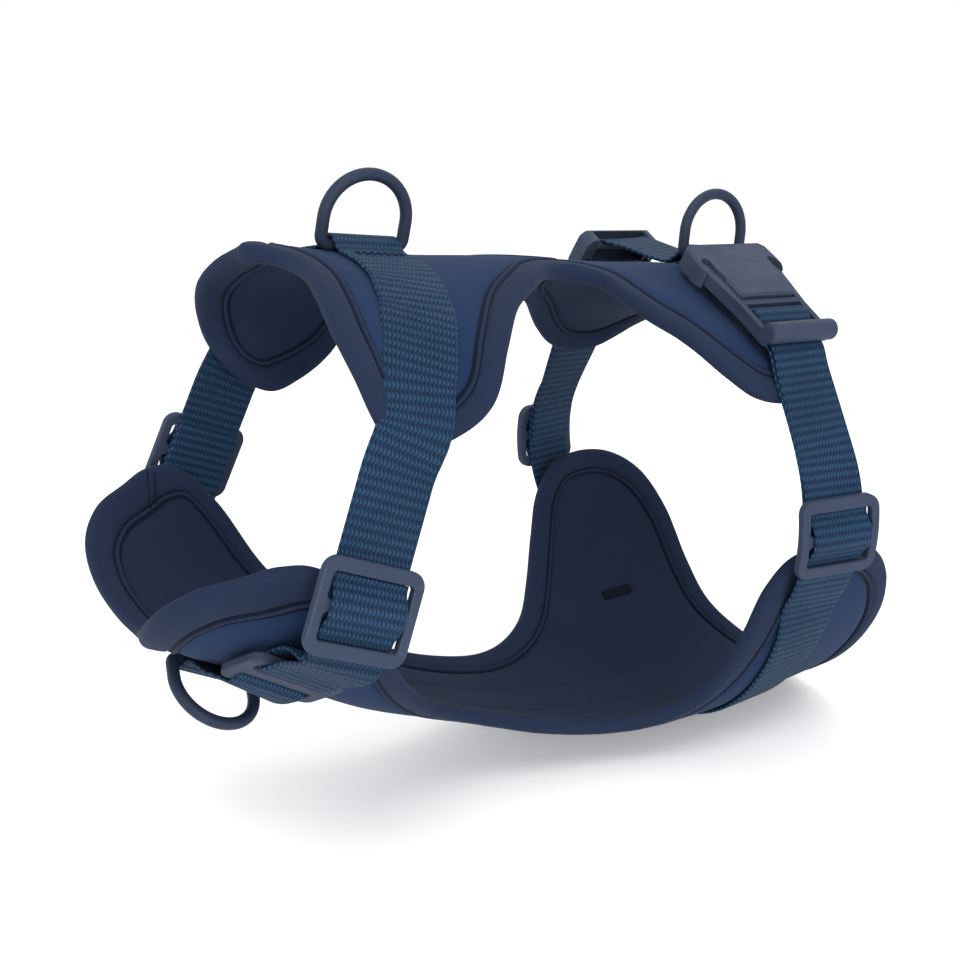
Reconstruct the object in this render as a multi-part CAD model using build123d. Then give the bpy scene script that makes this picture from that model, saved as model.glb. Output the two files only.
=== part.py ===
from build123d import *
import math
import os

# A no pull dog harness, size M, standing in the shape that it has on a dog. Millimetres.
# -X is the dog's head, +X its tail, +Y its right side, -Y its left side, +Z up.
# The origin is the middle of the hollow that the dog's chest fills, on the mirror plane.

# ---- driving dimensions -------------------------------------------------------------------
WEB_W = 24.8            # 25 mm webbing, as it measures
WEB_T = 1.5
PAD_HALF = 2.5          # half of the padded panels' thickness
SKIN = 0.8              # cover and lining fabric
BIND_HALF = 3.0         # half of the rolled binding's thickness
BIND_W = 9.0            # width of the binding band
PIPE_W = 1.4            # piping cord beside the binding
RING_WIRE = 4.2
RING_IN = 25.8          # D-ring, inside width
RING_LEG = 8.6          # straight leg of a D-ring, from the bar to the round
GAP = 0.15

# Cross-sections under the back panel: x, half width, rise, tuck, widest level, pinched shoulders
BACK_RIBS = [
    (-100, 67, 39.5, 32, 48.4, 0), (-80, 64, 40, 32, 48.1, 0), (-60, 57, 39, 32, 45.8, 0),
    (-42, 55, 39, 32, 43.8, 0), (-20, 56, 42.3, 32, 38.3, 0), (15, 57, 44, 32, 34.3, 0),
    (55, 61, 46, 32, 27.7, 0.03), (80, 63, 46, 32, 25.9, 0.13), (100, 63, 45, 32, 24.6, 0.17),
    (130, 61, 43, 32, 24.0, 0.17),
]
# Cross-sections of the chest panel: x, half width, rise from the keel, roundness, keel level
CHEST_RIBS = [
    (-142, 54, 54, 1.75, -24), (-120, 57, 55, 1.75, -35), (-92, 63, 57, 1.8, -50),
    (-60, 64, 60, 1.85, -69), (-24, 66, 61, 2.0, -83), (10, 68, 66, 2.2, -96),
    (40, 71, 74, 2.3, -103.5), (72, 71, 84, 2.3, -108), (105, 77, 98, 2.1, -109.5),
    (140, 74, 92, 2.0, -109.5), (168, 68, 84, 2.0, -109),
]
# Edge of each panel laid flat: x along the dog, w across from the middle line, right half
BACK_EDGE = [
    (-89, 0), (-83, 12), (-80.5, 28), (-82.5, 42), (-84, 58), (-81.5, 72), (-77.5, 82),
    (-71, 89), (-60, 91.5), (-48, 86), (-33, 75), (-22.5, 57), (-9, 39), (4, 28), (19.5, 16),
    (29, 14), (36.5, 20), (38.5, 31), (44, 43), (53, 52), (66.5, 67.5), (76, 75), (91.5, 77.5),
    (103, 74.5), (111, 68), (117, 59), (122, 47), (126, 30), (128, 13), (128.5, 0),
]
CHEST_EDGE = [
    (-131, 0), (-134, 12), (-136.5, 28), (-135, 43), (-128, 58), (-116, 71.5), (-105, 83),
    (-97, 88), (-88, 88.5), (-79.5, 82.5), (-66, 62.5), (-53, 48), (-39, 38), (-22, 33.5),
    (4, 35), (26, 39.5), (42, 47), (56, 58), (66, 75), (72, 92), (79, 113.5), (88.5, 124.5),
    (104, 128), (119, 126), (137, 114.5), (151, 90), (154.5, 62), (155, 40), (158.5, 18),
    (160, 0),
]


# ---- the hollow's two surfaces ----------------------------------------------------------
def along(x, ribs, column):
    """A value of the cross-section table at x, eased between its rows."""
    if x <= ribs[0][0]:
        return ribs[0][column]
    if x >= ribs[-1][0]:
        return ribs[-1][column]
    i = max(k for k in range(len(ribs) - 1) if ribs[k][0] <= x)

    def slope(k):
        lo, hi = ribs[max(k - 1, 0)], ribs[min(k + 1, len(ribs) - 1)]
        return (hi[column] - lo[column]) / (hi[0] - lo[0])

    h = ribs[i + 1][0] - ribs[i][0]
    t = (x - ribs[i][0]) / h
    a, b = ribs[i][column], ribs[i + 1][column]
    return (
        (2 * t**3 - 3 * t**2 + 1) * a + (t**3 - 2 * t**2 + t) * h * slope(i)
        + (3 * t**2 - 2 * t**3) * b + (t**3 - t**2) * h * slope(i + 1)
    )


def back_point(x, turn):
    """The back panel's rib at x, as (y, z), turned from straight up."""
    half, rise, tuck, level, pinch = (along(x, BACK_RIBS, k) for k in (1, 2, 3, 4, 5))
    s, c = math.sin(turn), math.cos(turn)
    r = ((s / half) ** 2 + (c / (rise if c > 0 else tuck)) ** 2) ** -0.5
    if c > 0:
        r *= 1 - pinch * math.sin(2 * turn) ** 2
    return r * s, level + r * c


def chest_point(x, turn):
    """The chest panel's rib at x, as (y, z), turned from straight down."""
    half, rise, n, keel = (along(x, CHEST_RIBS, k) for k in (1, 2, 3, 4))
    s, c = math.sin(turn), math.cos(turn)
    if c < 0:
        n = 2
    r = (abs(s / half) ** n + abs(c / rise) ** n) ** (-1 / n)
    return r * s, keel + rise - r * c


def rib(point, x):
    """A rib's points from the middle line outwards, with their lengths along the rib."""
    pts = [point(x, 0.01 * k) for k in range(231)]
    lengths = [0.0]
    for a, b in zip(pts[:-1], pts[1:]):
        lengths.append(lengths[-1] + math.dist(a, b))
    return pts, lengths


RIBS = {}


def on(point, x, w, lift=0.0):
    """The point at x and at w along its rib, lifted outwards from the padding's middle."""
    key = (point.__name__, round(x, 4))
    if key not in RIBS:
        RIBS[key] = rib(point, x)
    pts, lengths = RIBS[key]
    side, w = (1 if w >= 0 else -1), abs(w)
    i = next(k for k in range(1, len(pts)) if lengths[k] >= w or k == len(pts) - 1)
    (ya, za), (yb, zb) = pts[i - 1], pts[i]
    t = (w - lengths[i - 1]) / (lengths[i] - lengths[i - 1])
    ty, tz = (yb - ya) / math.dist(pts[i - 1], pts[i]), (zb - za) / math.dist(pts[i - 1], pts[i])
    if w < 0.5:
        ty, tz = 1.0, 0.0
    ny, nz = (-tz, ty) if point is back_point else (tz, -ty)
    return Vector(x, side * (ya + (yb - ya) * t + ny * lift), za + (zb - za) * t + nz * lift)


def shell(point, stations, reach, low, high):
    """A layer of a panel between two lifts, wider than the panel all round."""
    sections = []
    for x in stations:
        ws = [reach * (k / 7 - 1) for k in range(15)]
        outer = Edge.make_spline([on(point, x, w, high) for w in ws])
        inner = Edge.make_spline([on(point, x, w, low) for w in ws])
        ends = [Edge.make_line(inner @ k, outer @ k) for k in (0, 1)]
        sections.append(Face(Wire([outer, ends[1], inner, ends[0]])))
    return loft(sections)


def whole_edge(half):
    return half + [(x, -w) for x, w in reversed(half[1:-1])]


def flat_loop(half, inset=0.0, count=72):
    """The panel's edge laid flat, drawn in by inset, as evenly spaced points (x, w)."""
    face = Face(Wire([Edge.make_spline([Vector(x, w) for x, w in whole_edge(half)], periodic=True)]))
    wire = face.outer_wire()
    if inset:
        wire = offset(face, -inset).faces().sort_by(SortBy.AREA)[-1].outer_wire()
    return [wire @ (k / count) for k in range(count)]


def wall(point, loop, spans=8):
    """A closed wall through the panel, square to it, along a flat loop."""
    faces, count = [], len(loop)
    for span in range(spans):
        picks = [(span * count // spans + k) % count for k in range(count // spans + 1)]
        rails = []
        for lift in (-7, 7):
            pts = [on(point, p.X, p.Y, lift) for p in loop]
            ways = [pts[(i + 1) % count] - pts[i - 1] for i in (picks[0], picks[-1])]
            rails.append(Edge.make_spline([pts[i] for i in picks], tangents=ways))
        faces.append(Face.make_surface_from_curves(*rails))
    return Shell(faces)


def inside(layer, fence, seed):
    """The piece of a layer that holds the seed point, or the rest of it."""
    pieces = layer.split(fence, keep=Keep.ALL).solids()
    pieces = sorted(pieces, key=lambda s: s.distance_to(Vertex(*seed)))
    return pieces[0], pieces[1:]


PARTS = {}


def keep(name, shape):
    PARTS[name] = shape


def both_sides(name, shape):
    keep(name + "_left", shape.mirror(Plane.XZ))
    keep(name + "_right", shape)


# ---- padded panels ------------------------------------------------------------------------
def panel(name, point, ribs, reach, half, middle):
    stations = [row[0] for row in ribs]
    edge = wall(point, flat_loop(half))
    seam = wall(point, flat_loop(half, BIND_W))
    groove = wall(point, flat_loop(half, BIND_W + PIPE_W))
    seed = on(point, middle, 0)
    rim, _ = inside(shell(point, stations, reach, -BIND_HALF, BIND_HALF), edge, seed)
    _, ring = inside(rim, seam, seed)
    keep(name + "_binding", ring[0])
    layers = {
        "_lining": (-PAD_HALF, -PAD_HALF + SKIN),
        "_foam": (-PAD_HALF + SKIN, PAD_HALF - SKIN),
        "_cover": (PAD_HALF - SKIN, PAD_HALF),
    }
    for suffix, (low, high) in layers.items():
        core, _ = inside(shell(point, stations, reach, low, high), seam, seed)
        keep(name + suffix, core)
    for suffix, (low, high) in {"_piping": (PAD_HALF, PAD_HALF + 0.9)}.items():
        core, _ = inside(shell(point, stations, reach, low, high), seam, seed)
        _, cord = inside(core, groove, seed)
        keep(name + suffix, cord[0])


panel("back", back_point, BACK_RIBS, 98, BACK_EDGE, 100)
panel("chest", chest_point, CHEST_RIBS, 132, CHEST_EDGE, 110)
spot = on(chest_point, 108.5, 57, -PAD_HALF - 0.85)
label = Plane(origin=spot, x_dir=(1, 0, 0), z_dir=spot - on(chest_point, 108.5, 57, 0)) * Box(17, 5, 0.6)
keep("size_label", label)


# ---- webbing ------------------------------------------------------------------------------
def unit(v):
    return v * (1 / v.length)


def ribbon(path, width=WEB_W, thick=WEB_T):
    """Webbing along a path of (middle point, outward direction)."""
    sections = []
    for i, (p, out) in enumerate(path):
        way = unit(path[min(i + 1, len(path) - 1)][0] - path[max(i - 1, 0)][0])
        plane = Plane(origin=p, x_dir=unit(way.cross(out)), z_dir=way)
        sections.append(plane * Rectangle(width, thick).face())
    return loft(sections, ruled=True)


def seat(point, x, w, lift):
    """A point at a lift square off a panel, with the outward direction there."""
    foot = on(point, x, w)
    out = (on(point, x + 1, w) - on(point, x - 1, w)).cross(on(point, x, w + 1) - on(point, x, w - 1))
    out = unit(out) * (1 if out.dot(on(point, x, w, 1) - foot) > 0 else -1)
    return foot + out * lift, out


def laid(point, route, step=6):
    """Path of webbing on a panel through (x, w, lift) marks."""
    path = []
    for a, b in zip(route[:-1], route[1:]):
        count = max(1, round(abs(b[1] - a[1]) / step))
        for k in range(count):
            path.append(seat(point, *(p + (q - p) * k / count for p, q in zip(a, b))))
    return path + [seat(point, *route[-1])]


def swing(middle, radius, start, stop, right, up, face=1, step=12):
    """Path round a middle point by angle, in the plane of two directions."""
    count = max(2, round(abs(stop - start) / step))
    path = []
    for k in range(count + 1):
        a = math.radians(start + (stop - start) * k / count)
        out = right * math.cos(a) + up * math.sin(a)
        path.append((middle + out * radius, out * face))
    return path


def ease(start, way_in, stop, way_out, out_in, out_out, count=5):
    """Path from one point and way to another, without its two ends."""
    path, reach = [], (stop - start).length
    for k in range(1, count):
        t = k / count
        p = start * (2 * t**3 - 3 * t**2 + 1) + way_in * (reach * (t**3 - 2 * t**2 + t))
        p += stop * (3 * t**2 - 2 * t**3) + way_out * (reach * (t**3 - t**2))
        path.append((p, unit(out_in * (1 - t) + out_out * t)))
    return path


class Frame:
    """A place on the harness: along y = way, across x, outwards z."""

    def __init__(self, origin, way, out):
        self.way, self.origin = unit(way), origin
        self.across = unit(self.way.cross(out))
        self.out = self.across.cross(self.way)
        self.plane = Plane(origin=origin, x_dir=self.across, z_dir=self.out)

    def at(self, y, z):
        return self.origin + self.way * y + self.out * z

    def run(self, marks):
        """Path through (y, z) marks that faces outwards."""
        return [(self.at(y, z), self.out) for y, z in marks]


STACK = WEB_T + GAP                       # from one layer of webbing to the next
ON_PAD = PAD_HALF + 2.5 * GAP + WEB_T / 2 # webbing's middle, sewn on a cover
BAR_WRAP = RING_WIRE / 2 + GAP + WEB_T / 2


def over_bar(x, bar, foot, reach, slope=0.0):
    """Marks of webbing that passes over a ring's bar at height bar, half of it."""
    top = bar + BAR_WRAP + 0.15
    marks = [(0, top), (2, top - 0.5), (4.5, top - 2.2), (7, max(foot, top - 3.9)), (9, foot), (reach, foot)]
    return [(x + slope * max(0, w - 4.5), w, lift) for w, lift in marks]


def across(half):
    """Both halves of a run of marks that starts on the middle line."""
    return [(x, -w, lift) for x, w, lift in reversed(half[1:])] + half


# ---- D-rings ------------------------------------------------------------------------------
def d_ring():
    """D-ring with its bar on X, standing up +Z."""
    half, corner = (RING_IN + RING_WIRE) / 2, 3.2
    k = corner * (1 - math.sqrt(0.5))
    line = Curve() + [
        Line((corner - half, 0, 0), (half - corner, 0, 0)),
        ThreePointArc((half - corner, 0, 0), (half - k, 0, k), (half, 0, corner)),
        Line((half, 0, corner), (half, 0, RING_LEG)),
        ThreePointArc((half, 0, RING_LEG), (0, 0, RING_LEG + half), (-half, 0, RING_LEG)),
        Line((-half, 0, RING_LEG), (-half, 0, corner)),
        ThreePointArc((-half, 0, corner), (k - half, 0, k), (corner - half, 0, 0)),
    ]
    return sweep(Plane.YZ * Circle(RING_WIRE / 2), Wire(line.edges()))


def ring_at(name, point, x, lift, lean=0.0):
    middle, out = seat(point, x, 0, lift)
    bar = unit(Vector(out.Z, 0, -out.X)) * (1 if out.Z > 0 else -1)
    plane = Plane(origin=middle, x_dir=bar, z_dir=out)
    keep(name, plane * Rot(lean, 0, 0) * d_ring())
    return middle, bar


FRONT_X, REAR_X, CHEST_X = -47.0, 109.0, -105.0
CHEST_LEAN = -60.0                        # how far the chest ring hangs to the left
FRONT_BAR = PAD_HALF + GAP + RING_WIRE / 2
REAR_BAR = FRONT_BAR + STACK + 0.6
ring_at("front_d_ring", back_point, FRONT_X, FRONT_BAR, 12)
ring_at("rear_d_ring", back_point, REAR_X, REAR_BAR)
ring_at("chest_d_ring", chest_point, CHEST_X, FRONT_BAR, CHEST_LEAN)


# ---- sliders and loops --------------------------------------------------------------------
def soften(shape, size):
    """Round the edges of a moulding, or leave them where they cannot be rounded."""
    for radius in (size, size * 0.6):
        try:
            return fillet(shape.edges(), radius)
        except Exception:
            continue
    return shape


def slots(height, offset, high, wide=26.6):
    cut = Part()
    for side in (-1, 1):
        cut += extrude(Pos(0, side * offset) * RectangleRounded(wide, high, 1.2), height, both=True)
    return cut


SLIDER_W, SLIDER_H, SLIDER_T = 33.4, 29.0, 3.2


def slider():
    frame = extrude(RectangleRounded(SLIDER_W, SLIDER_H, 5), SLIDER_T / 2, both=True)
    return soften(frame - slots(4, 6.0, 8.0), 0.7)


HUMP = [(-9.8, -0.75), (-7.4, -0.5), (-5.4, 0.7), (-3.5, 2.1), (-1.8, 2.6), (1.8, 2.6),
        (3.5, 2.1), (5.4, 0.7), (7.4, -0.5), (9.8, -0.75)]


def chest_loop():
    body = extrude(RectangleRounded(34, 22, 4), 1.6, both=True)
    return soften(body - slots(4, 4.9, 4.6, 26), 0.7)


# ---- neck webbing -------------------------------------------------------------------------
fold = over_bar(FRONT_X, FRONT_BAR, ON_PAD, 15)
keep("front_ring_fold", ribbon(laid(back_point, across(fold), 2)))

NECK_TOP = Vector(-71.5, 67, 30.5)        # where the right strap leaves the back panel
NECK_LOW = Vector(-92.5, 73.0, -19)       # where it turns in to the chest panel
NECK = Frame(NECK_TOP, NECK_LOW - NECK_TOP, Vector(0, 1, 0.15))
NECK_RUN = (NECK_LOW - NECK_TOP).length
neck_route = [
    (-47, 15.6, ON_PAD + 0.1), (-47.1, 19, ON_PAD + 0.3), (-48, 30, ON_PAD + 0.4),
    (-52, 45, ON_PAD + 0.8), (-58, 58, ON_PAD + 1.4), (-63, 68, ON_PAD + 2.2),
    (-66.2, 78, ON_PAD + 3.0),
]
middle, out = seat(chest_point, -97, 43, 6.2)
LOOP = Frame(middle, on(chest_point, -98.3, 38) - on(chest_point, -95.7, 48), out)
FOLD_R = 1.6 + GAP + WEB_T / 2            # webbing round a moulded bar


def hairpin(frame, y, z, radius, start, stop):
    return swing(frame.at(y, z), radius, start, stop, frame.way, frame.out)


down = laid(back_point, neck_route, 7)
down += ease(down[-1][0], unit(down[-1][0] - down[-2][0]), NECK_TOP, NECK.way, down[-1][1], NECK.out, 4)
down += [(NECK.at(NECK_RUN * k / 4, 0), NECK.out) for k in range(5)]
into = LOOP.at(-15, FOLD_R)
down += ease(NECK_LOW, NECK.way, into, LOOP.way, NECK.out, LOOP.out, 7)
down += [(into, LOOP.out)]
down += hairpin(LOOP, -8.2, 0, FOLD_R, 90, -90)
back_up = LOOP.at(-15, -FOLD_R)
up_to = NECK.at(NECK_RUN, -STACK - 0.2)
down += [(back_up, LOOP.out * -1)]
down += ease(back_up, LOOP.way * -1, up_to, NECK.way * -1, LOOP.out * -1, NECK.out * -1, 7)
down += [(NECK.at(NECK_RUN - 9 * k, -STACK - 0.2), NECK.out * -1) for k in range(5)]
both_sides("neck_webbing", ribbon(down))


def on_strap(name, side, frame, y, z, shape):
    placed = Plane(origin=frame.at(y, z), x_dir=frame.across, z_dir=frame.out) * shape
    keep(name + side, placed if side == "_right" else placed.mirror(Plane.XZ))


NECK_SLIDER_LIFT = WEB_T / 2 + GAP + SLIDER_T / 2
hump = ribbon([(Vector(0, y, z), Vector(0, 0, 1)) for y, z in HUMP], WEB_W, 1.4)
for side, spot in (("_left", 40.1), ("_right", 28.3)):
    on_strap("neck_slider", side, NECK, spot, NECK_SLIDER_LIFT, slider())
    on_strap("neck_slider_webbing", side, NECK, spot, NECK_SLIDER_LIFT, hump)

# ---- chest loops and the webbing between them ---------------------------------------------
both_sides("chest_loop", LOOP.plane * chest_loop())
half = over_bar(CHEST_X, FRONT_BAR, ON_PAD, 11)
half += [(-104.6, 17, 4.7), (-103.8, 24, 7.0)]
out_of = LOOP.at(15, FOLD_R)
across_run = laid(chest_point, half, 2)
across_run += ease(
    across_run[-1][0], unit(across_run[-1][0] - across_run[-2][0]), out_of, LOOP.way * -1,
    across_run[-1][1], LOOP.out, 3,
)
across_run += [(out_of, LOOP.out)] + hairpin(LOOP, 8.2, 0, FOLD_R, 90, 270)
across_run += [(LOOP.at(y, -FOLD_R), LOOP.out * -1) for y in (12, 16)]


def flipped(path):
    """The same path on the left side, run the other way."""
    turn = [(Vector(p.X, -p.Y, p.Z), Vector(o.X, -o.Y, o.Z)) for p, o in path]
    return list(reversed(turn))


keep("chest_webbing", ribbon(flipped(across_run)[:-1] + across_run))

# ---- girth webbing ------------------------------------------------------------------------
GIRTH_X, GIRTH_TURN = 109.5, math.radians(10)
GIRTH_OUT = Vector(-math.sin(GIRTH_TURN), math.cos(GIRTH_TURN), 0)
UP = Vector(0, 0, 1)
ARC_Q, ARC_Z, ARC_R = 36.1, -14.1, 51.75
ARC_MIDDLE = Vector(GIRTH_X, 0, ARC_Z) + GIRTH_OUT * ARC_Q


def girth_arc(radius, start, stop, face=1, step=6):
    return swing(ARC_MIDDLE, radius, start, stop, GIRTH_OUT, UP, face, step)


def girth_webbing(buckle):
    """Right-hand girth webbing: plug bar, arc, under the belly, and the tail inside it."""
    path = [(ARC_MIDDLE + GIRTH_OUT * (ARC_R - STACK - 0.2) + UP * z, GIRTH_OUT * -1) for z in (-2, 4)]
    path = [path[0]]
    path += girth_arc(ARC_R - STACK - 0.2, 3, 12, -1)
    tail = buckle.run([(50, -3.7), (46.5, -3.7), (43, -3.2), (39.5, -2.5)])
    reach = path[-1]
    path += ease(
        reach[0], unit(reach[0] - path[-2][0]), tail[0][0], unit(tail[0][0] - reach[0]),
        reach[1], buckle.out * -1, 6,
    )
    path += [(p, out * -1) for p, out in tail]
    path += swing(buckle.at(PLUG_BAR, 0), FOLD_R - 0.1, 270, 90, buckle.way, buckle.out, 1)
    top = buckle.run([(40.2, 2.1), (43, 0.6), (46.3, -1.7), (48.5, -2.0), (50.5, -1.9)])
    path += top
    arc = girth_arc(ARC_R, 32, -34)
    fall = arc[0][0] - top[-1][0]
    path += [(top[-1][0] + fall * (k / 4), unit(top[-1][1] * (1 - k / 4) + arc[0][1] * (k / 4)))
             for k in (1, 2, 3)]
    path += arc
    last = path[-1]
    under = laid(chest_point, [(97, 94, ON_PAD + 0.4), (97.5, 70, ON_PAD), (98, 40, ON_PAD), (98, 0.3, ON_PAD)], 7)
    path += ease(last[0], unit(last[0] - path[-2][0]), under[0][0], unit(under[1][0] - under[0][0]),
                 last[1], under[0][1], 4)
    return ribbon(path + under)


PLUG_BAR = 36.8


def socket():
    outline = [
        (-17, -2.5), (-19.5, 0), (-20.0, 6), (-20.2, 11.5), (-18, 15), (-13.5, 18.5), (-13.3, 29),
        (13.3, 29), (13.5, 18.5), (18, 15), (20.2, 11.5), (20.0, 6), (19.5, 0), (17, -2.5),
    ]
    body = extrude(make_face(Polyline(*outline, close=True)), 8)
    body = Pos(0, 0, -4) * soften_corners(body)
    body -= Pos(0, 2, -1.9) * Box(28.4, 12.6, 8.6)
    body += Pos(0, 1.5, -1.3) * Rot(0, 90, 0) * Cylinder(1.9, 28)
    body -= Pos(0, 22, 0) * Box(19, 15, 4)
    for side in (-1, 1):
        hole = [(13.2, 19), (14.2, 14), (14.3, 8), (15.4, 7), (17.2, 7), (18.4, 8.5), (18.4, 19)]
        hole = make_face(Polyline(*[(side * a, b) for a, b in hole], close=True))
        body -= Pos(0, 0, -5) * extrude(hole, 10)
    return body


def soften_corners(body):
    try:
        body = fillet(body.edges().filter_by(Axis.Z), 1.6)
        return chamfer(body.faces().sort_by(Axis.Z)[-1].edges(), 0.9)
    except Exception:
        return body


def plug():
    body = Pos(0, 31.2, 0) * Box(30.8, 2.6, 4.6)
    body += Pos(0, 49.6, 2.9) * Rot(0, 90, 0) * fillet(Cylinder(3.9, 30.8).edges(), 1.2)
    body += Pos(0, PLUG_BAR, 0) * Rot(0, 90, 0) * Cylinder(1.5, 28)
    body += Pos(0, 23.8, 0) * Box(17, 15.6, 3.2)
    for side in (-1, 1):
        arm = [(13.1, 50), (13.1, 30.5), (13.7, 29.6), (13.8, 20), (14.7, 13), (14.7, 9.5), (15.6, 8.6), (16.8, 9), (18, 14),
               (17.2, 21), (15.6, 33), (15.4, 50)]
        arm = make_face(Polyline(*[(side * a, b) for a, b in arm], close=True))
        body += Pos(0, 0, -2.4) * extrude(arm, 4.8)
    return body


NEAR_IN, NEAR_OUT = Vector(99.5, 17.2, 77.8), Vector(96.5, 60.2, 52.6)
FAR_IN, FAR_OUT = Vector(99.5, 45, 78.5), Vector(96.8, 70.3, 36)
BUCKLES = {}
for side, a, b in (("_left", NEAR_IN, NEAR_OUT), ("_right", FAR_IN, FAR_OUT)):
    level = unit((b - a).cross(Vector(1, 0, 0)))
    BUCKLES[side] = Frame(a, b - a, level * (1 if level.Y > 0 else -1))
    turn = (lambda s: s.mirror(Plane.XZ)) if side == "_left" else (lambda s: s)
    keep("buckle_socket" + side, turn(BUCKLES[side].plane * socket()))
    keep("buckle_plug" + side, turn(BUCKLES[side].plane * plug()))
    keep("girth_webbing" + side, turn(girth_webbing(BUCKLES[side])))

# ---- girth sliders ------------------------------------------------------------------------
GIRTH = Frame(ARC_MIDDLE, GIRTH_OUT.cross(Vector(math.cos(GIRTH_TURN), math.sin(GIRTH_TURN), 0)), GIRTH_OUT)
SLIDER_IN = ARC_R + WEB_T / 2 + GAP


def curved_slider():
    """Slider bent round the arc's axis, drawn with the axis on X and its face up +Z."""
    tube = Rot(0, 90, 0) * (Cylinder(SLIDER_IN + SLIDER_T, 40) - Cylinder(SLIDER_IN, 50))
    frame = extrude(RectangleRounded(SLIDER_W, SLIDER_H, 5), 80) - extrude(slots_face(), 80)
    return soften(tube & frame, 0.6)


def slots_face():
    return Sketch() + [Pos(0, s * 6.0) * RectangleRounded(26.6, 8.0, 1.2) for s in (-1, 1)]


curved_hump = []
for y, z in HUMP:
    radius, angle = SLIDER_IN + SLIDER_T / 2 + z, y / (SLIDER_IN + SLIDER_T / 2)
    face = Vector(0, math.sin(angle), math.cos(angle))
    curved_hump.append((face * radius, face))
for name, shape in (
    ("girth_slider", curved_slider()),
    ("girth_slider_webbing", ribbon(curved_hump, WEB_W, 1.4)),
):
    both_sides(name, GIRTH.plane * shape)

# ---- webbing under and over the rear ring -------------------------------------------------
base = laid(back_point, across([(REAR_X, 0, ON_PAD), (REAR_X, 13, ON_PAD)]), 3)
keep("rear_base_webbing", ribbon(base))
left, right = BUCKLES["_left"], BUCKLES["_right"]
top = over_bar(REAR_X, REAR_BAR, ON_PAD + STACK, 10)[:-3]
top += [(108.6, 7, ON_PAD + STACK + 0.4), (107.6, 10, ON_PAD + STACK), (105.6, 13, ON_PAD + STACK)]
near = laid(back_point, top, 2) + left.run([(1.5, -3.95)])
near += swing(left.at(1.5, -1.3), 2.7, -75, 90, left.way, left.out)
near += left.run([(-2, 1.4)])
far = laid(back_point, over_bar(REAR_X, REAR_BAR, ON_PAD + STACK, 10, -0.2), 2)
for lifted in (Vector(106, 23, 74.2), Vector(102, 36, 77.6)):
    far += [(lifted, unit(Vector(0, -0.1, 1)))]
far += swing(right.at(1.5, -1.3), 2.8, 170, 20, right.way, right.out)
keep("girth_top_webbing", ribbon(flipped(near)[:-1] + far))


if __name__ == "__main__":
    os.makedirs("parts", exist_ok=True)
    for name, shape in PARTS.items():
        export_step(shape, f"parts/{name}.step")
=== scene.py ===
# Looks of the no pull dog harness, size M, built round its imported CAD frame.
# Lengths in the tables are millimetres, as in the CAD source; blender objects are in metres.
import math

import bpy
import numpy as np
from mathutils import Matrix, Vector, geometry, kdtree, noise


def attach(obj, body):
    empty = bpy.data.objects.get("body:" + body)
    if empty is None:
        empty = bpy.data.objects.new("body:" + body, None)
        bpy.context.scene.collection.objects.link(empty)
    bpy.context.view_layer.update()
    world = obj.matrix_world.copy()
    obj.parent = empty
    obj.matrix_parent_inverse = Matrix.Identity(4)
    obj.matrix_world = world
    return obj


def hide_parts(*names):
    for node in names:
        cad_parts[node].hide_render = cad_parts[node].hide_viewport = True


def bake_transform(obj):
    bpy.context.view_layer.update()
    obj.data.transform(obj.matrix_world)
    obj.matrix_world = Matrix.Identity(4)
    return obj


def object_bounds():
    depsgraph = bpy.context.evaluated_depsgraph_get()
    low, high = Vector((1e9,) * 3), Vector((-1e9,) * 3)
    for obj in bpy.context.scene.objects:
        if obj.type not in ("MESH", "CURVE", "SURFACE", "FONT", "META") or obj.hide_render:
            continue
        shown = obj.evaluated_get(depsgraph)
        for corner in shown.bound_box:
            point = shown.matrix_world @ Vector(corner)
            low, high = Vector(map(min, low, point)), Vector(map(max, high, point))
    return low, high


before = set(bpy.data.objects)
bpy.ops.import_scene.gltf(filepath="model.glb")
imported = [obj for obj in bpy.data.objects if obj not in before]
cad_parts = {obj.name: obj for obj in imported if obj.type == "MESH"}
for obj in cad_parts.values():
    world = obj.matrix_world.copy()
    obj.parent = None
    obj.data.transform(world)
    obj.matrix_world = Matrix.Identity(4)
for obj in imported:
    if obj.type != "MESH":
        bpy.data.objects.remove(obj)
cad_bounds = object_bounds()
MM = 0.001

# ---- camera, light and floor --------------------------------------------------------------
camera = bpy.data.objects.new("camera", bpy.data.cameras.new("camera"))
bpy.context.scene.collection.objects.link(camera)
camera.location = (-0.2311, -0.3558, 0.1297)
camera.rotation_euler = (-camera.location).to_track_quat("-Z", "Y").to_euler()
camera.data.lens = 45
camera.data.sensor_width = 36
camera.data.clip_start = 0.01
bpy.context.scene.camera = camera
bpy.context.scene.view_settings.view_transform = "Standard"


def area_light(name, place, size, power):
    light = bpy.data.lights.new(name, "AREA")
    light.shape = "DISK"
    light.size = size
    light.energy = power
    lamp = bpy.data.objects.new(name, light)
    lamp.location = place
    lamp.rotation_euler = (-Vector(place)).to_track_quat("-Z", "Y").to_euler()
    bpy.context.scene.collection.objects.link(lamp)


area_light("key_light", (-0.55, -0.75, 1.25), 0.6, 7)
area_light("fill_light", (-1.3, 0.1, 0.45), 1.0, 1.5)
area_light("front_light", (-0.35, -1.1, 0.25), 0.7, 6)
area_light("top_light", (0.15, 0.25, 1.4), 0.7, 4)
area_light("rear_light", (1.0, 0.7, 0.9), 0.8, 1.6)
world = bpy.data.worlds.new("studio")
bpy.context.scene.world = world
world.use_nodes = True
world.node_tree.nodes["Background"].inputs["Color"].default_value = (1, 1, 1, 1)
world.node_tree.nodes["Background"].inputs["Strength"].default_value = 1.0

# ---- the hollow's two surfaces ------------------------------------------------------------
WEB_W, WEB_T = 24.8, 1.5
PAD_HALF = 2.5
BIND_W, BIND_HALF = 9.0, 3.0
RING_WIRE, GAP = 4.2, 0.15
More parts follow.
